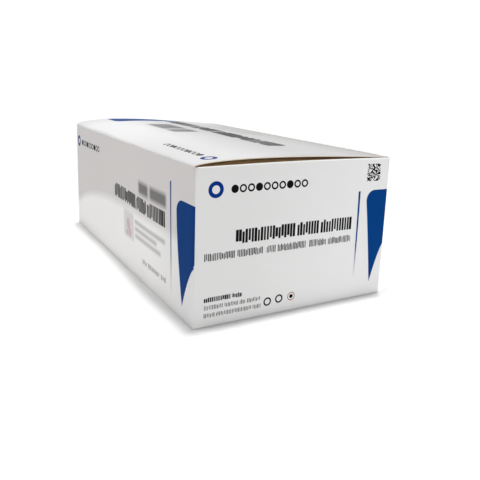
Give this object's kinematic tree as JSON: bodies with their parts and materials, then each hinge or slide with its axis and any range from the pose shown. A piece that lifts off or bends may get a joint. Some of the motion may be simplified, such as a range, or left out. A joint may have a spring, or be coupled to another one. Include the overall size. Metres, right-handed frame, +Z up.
{
  "type": "impression tray carton",
  "caption": "Folding carton of coated board with a hinged tuck-in lid, holding stacked full-arch dental bite impression trays, each a horseshoe frame with a gauze sheet and a handle.",
  "frame": {"origin": "centre of the carton's underside, on the surface it stands on", "axes": "+X across the width towards the tucked side, +Y along the length towards the back wall, +Z up towards the lid"},
  "size_m": [0.128, 0.24, 0.0901],
  "materials": {
    "coated_board": "white clay-coated face with a satin varnish",
    "kraft_board": "uncoated brown kraft",
    "tray_plastic": "moulded translucent pink",
    "gauze": "open woven gauze"
  },
  "bodies": {
    "carton": {"front_wall": "coated_board", "back_wall": "coated_board", "left_wall": "coated_board", "right_wall": "coated_board", "glue_flap": "kraft_board", "outer_bottom_panel": "coated_board", "inner_bottom_panel": "kraft_board", "bottom_front_flap": "kraft_board", "bottom_back_flap": "kraft_board", "tray_frame_1": "tray_plastic", "tray_frame_2": "tray_plastic", "tray_frame_3": "tray_plastic", "tray_frame_4": "tray_plastic", "tray_frame_5": "tray_plastic", "tray_frame_6": "tray_plastic", "tray_frame_7": "tray_plastic", "tray_frame_8": "tray_plastic", "tray_frame_9": "tray_plastic", "tray_frame_10": "tray_plastic", "tray_frame_11": "tray_plastic", "tray_frame_12": "tray_plastic", "tray_gauze_1": "gauze", "tray_gauze_2": "gauze", "tray_gauze_3": "gauze", "tray_gauze_4": "gauze", "tray_gauze_5": "gauze", "tray_gauze_6": "gauze", "tray_gauze_7": "gauze", "tray_gauze_8": "gauze", "tray_gauze_9": "gauze", "tray_gauze_10": "gauze", "tray_gauze_11": "gauze", "tray_gauze_12": "gauze"},
    "lid": {"lid": "coated_board"},
    "tuck_tab": {"tuck_tab": "coated_board"},
    "front_dust_flap": {"front_dust_flap": "kraft_board"},
    "back_dust_flap": {"back_dust_flap": "kraft_board"}
  },
  "joints": [
    {"name": "lid_hinge", "type": "hinge", "parent": "carton", "child": "lid", "pos_m": [-0.0641, 0, 0.0851], "axis": [0, -1, 0], "range_deg": [0, 200]},
    {"name": "tuck_tab_crease", "type": "hinge", "parent": "lid", "child": "tuck_tab", "pos_m": [0.06305, 0, 0.08525], "axis": [0, -1, 0], "range_deg": [0, 100]},
    {"name": "front_flap_crease", "type": "hinge", "parent": "carton", "child": "front_dust_flap", "pos_m": [0, -0.1192, 0.0849], "axis": [1, 0, 0], "range_deg": [0, 86]},
    {"name": "back_flap_crease", "type": "hinge", "parent": "carton", "child": "back_dust_flap", "pos_m": [0, 0.1192, 0.0849], "axis": [-1, 0, 0], "range_deg": [0, 86]}
  ],
  "couplings": [
    {"joint": "tuck_tab_crease", "follows": "lid_hinge", "ratio": 0.5},
    {"joint": "front_flap_crease", "follows": "lid_hinge", "ratio": 0.43},
    {"joint": "back_flap_crease", "follows": "lid_hinge", "ratio": 0.43}
  ]
}
